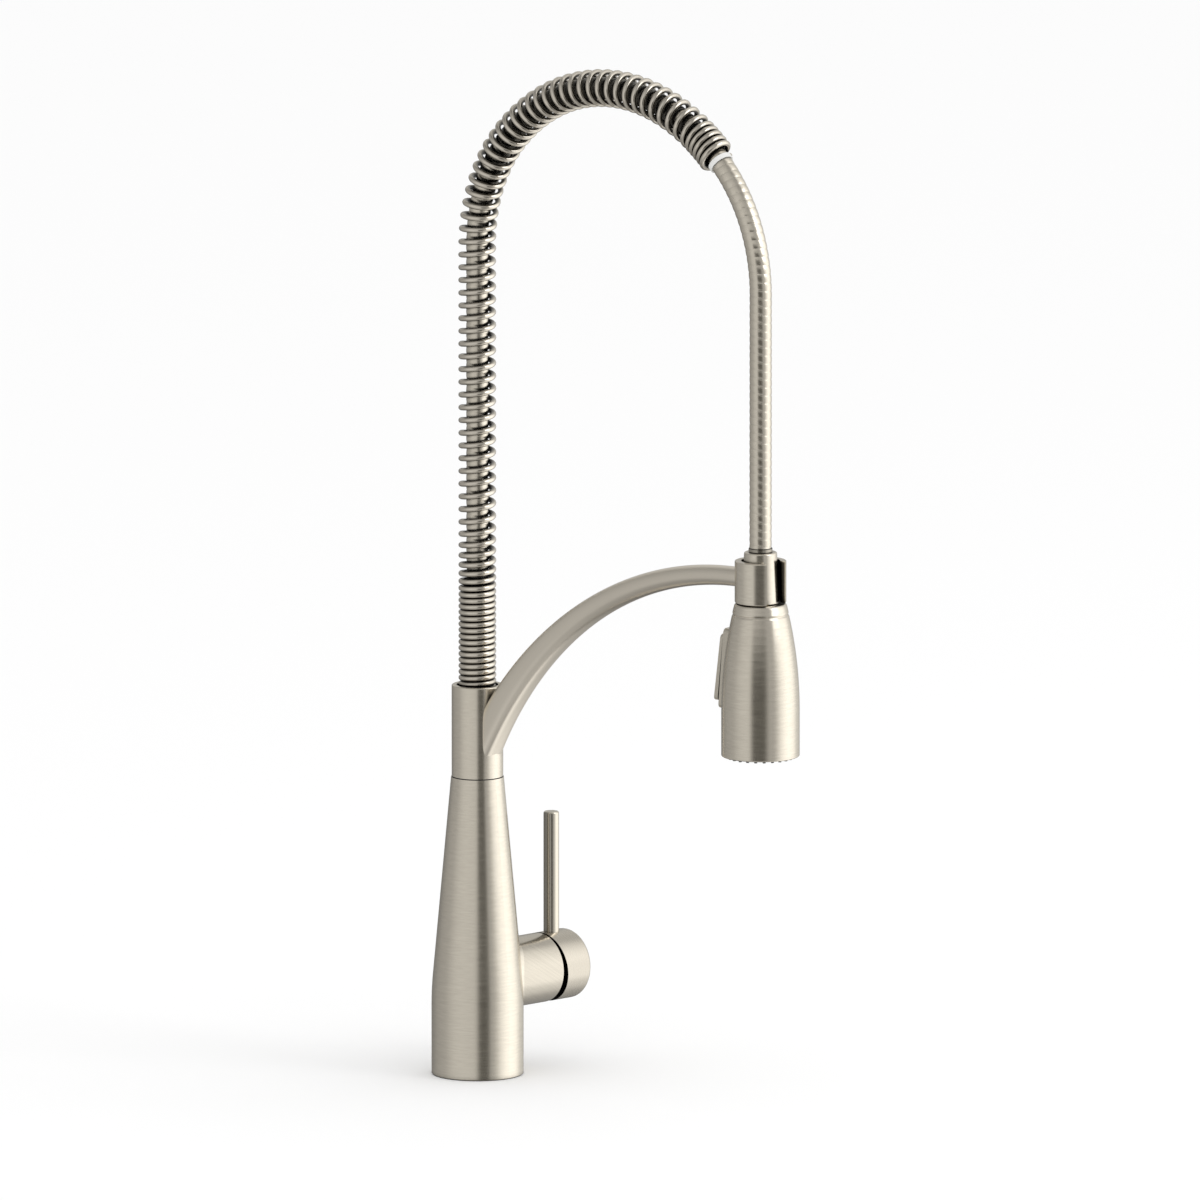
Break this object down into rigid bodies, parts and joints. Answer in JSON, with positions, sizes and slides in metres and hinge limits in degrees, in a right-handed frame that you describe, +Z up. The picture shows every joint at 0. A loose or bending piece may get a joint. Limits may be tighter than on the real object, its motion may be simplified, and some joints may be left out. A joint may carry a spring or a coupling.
{
  "type": "pre-rinse faucet",
  "caption": "Single-hole spring kitchen faucet: tapered base with side lever, sprung hose loop, docking arm with open clamp and pull-down two-spray head.",
  "frame": {"origin": "centre of the base's underside, on the deck, on the column's axis", "axes": "+Z up along the column and the spout's swivel axis, +X towards the docking arm and spray head, +Y along the valve hub towards the lever; the mounting shank runs down along -Z"},
  "size_m": [0.3046, 0.1066, 0.7178],
  "materials": {
    "brushed_nickel": "brushed, warm nickel finish on brass",
    "hose_sheath": "satin strip-wound metal",
    "spring_steel": "polished spring wire, warm nickel finish",
    "brass": "machined",
    "steel": "plain stainless",
    "ceramic": "lapped",
    "white_plastic": "moulded acetal",
    "grey_plastic": "moulded",
    "black_rubber": "moulded",
    "grey_rubber": "moulded silicone"
  },
  "bodies": {
    "base": {"base_body": "brushed_nickel", "base_gasket": "black_rubber", "mounting_shank": "brass", "hot_inlet": "brass", "cold_inlet": "brass", "inlet_holder": "grey_plastic", "waterway_block": "brass", "port_orings": "black_rubber", "block_screws": "steel", "outlet_tube": "brass", "lower_bush": "white_plastic", "upper_bush": "white_plastic", "thrust_washer": "black_rubber", "cartridge_base": "white_plastic", "cartridge_seals": "black_rubber", "fixed_disc": "ceramic", "cartridge_housing": "white_plastic", "cartridge_nut": "brass"},
    "valve_rotor": {"rotor": "grey_plastic", "rotor_oring": "black_rubber", "pivot_pin": "steel"},
    "valve_disc": {"moving_disc": "ceramic", "disc_carrier": "grey_plastic"},
    "handle": {"valve_stem": "brass", "handle_cap": "brushed_nickel", "lever_rod": "brushed_nickel", "handle_grub_screw": "steel", "handle_plug": "grey_plastic"},
    "spout": {"spout_spigot": "brass", "swivel_orings": "black_rubber", "retaining_clip": "steel", "post_sleeve": "brushed_nickel", "post_grub_screw": "steel", "hose_nut": "brass", "spring_seat": "grey_plastic", "spring": "spring_steel", "spring_end_ring": "white_plastic", "support_arm": "brushed_nickel", "docking_clamp": "brushed_nickel", "riser_sheath": "hose_sheath", "drop_sheath": "hose_sheath", "hose_liner": "grey_plastic"},
    "hose_end": {"hose_ferrule": "brushed_nickel", "hose_collar": "brushed_nickel", "swivel_nipple": "brass", "nipple_oring": "black_rubber"},
    "spray_head": {"head_shell": "brushed_nickel", "swivel_nut": "brass", "head_core": "white_plastic", "face_plate": "brushed_nickel", "nozzle_mat": "grey_rubber", "aerator": "steel", "check_seat": "brass", "check_guide": "white_plastic", "button_bezel": "brushed_nickel", "button_pin": "steel"},
    "button": {"button_pad": "brushed_nickel"},
    "diverter": {"diverter_spool": "grey_plastic", "spool_orings": "black_rubber"},
    "check_valve": {"check_poppet": "grey_plastic"}
  },
  "joints": [
    {"name": "spout_swivel", "type": "hinge", "parent": "base", "child": "spout", "pos_m": [0, 0, 0.1874], "axis": [0, 0, 1], "continuous": true},
    {"name": "handle_turn", "type": "hinge", "parent": "base", "child": "valve_rotor", "pos_m": [0, 0.043, 0.06], "axis": [0, 1, 0], "range_deg": [0, 90]},
    {"name": "handle_lift", "type": "hinge", "parent": "valve_rotor", "child": "handle", "pos_m": [0, 0.043, 0.06], "axis": [-1, 0, 0], "range_deg": [0, 14]},
    {"name": "disc_slide", "type": "slide", "parent": "valve_rotor", "child": "valve_disc", "axis": [0, 0, 1], "range_m": [0, 0.0045]},
    {"name": "head_pull", "type": "slide", "parent": "spout", "child": "hose_end", "axis": [0, 0, -1], "range_m": [0, 0.045], "stiffness_N_per_m": 250, "springref_m": -0.03, "deforming": ["drop_sheath", "hose_liner"]},
    {"name": "head_turn", "type": "hinge", "parent": "hose_end", "child": "spray_head", "pos_m": [0.25184, 0, 0.3184], "axis": [0, 0, 1], "continuous": true},
    {"name": "button_rock", "type": "hinge", "parent": "spray_head", "child": "button", "pos_m": [0.23264, 0, 0.288], "axis": [0, -1, 0], "range_deg": [0, 3]},
    {"name": "diverter_slide", "type": "slide", "parent": "spray_head", "child": "diverter", "axis": [0, 0, 1], "range_m": [0, 0.0006]},
    {"name": "check_open", "type": "slide", "parent": "spray_head", "child": "check_valve", "axis": [0, 0, -1], "range_m": [0, 0.002], "stiffness_N_per_m": 60}
  ],
  "couplings": [
    {"joint": "disc_slide", "follows": "handle_lift", "m_per_rad": 0.018},
    {"joint": "diverter_slide", "follows": "button_rock", "m_per_rad": 0.0113}
  ]
}
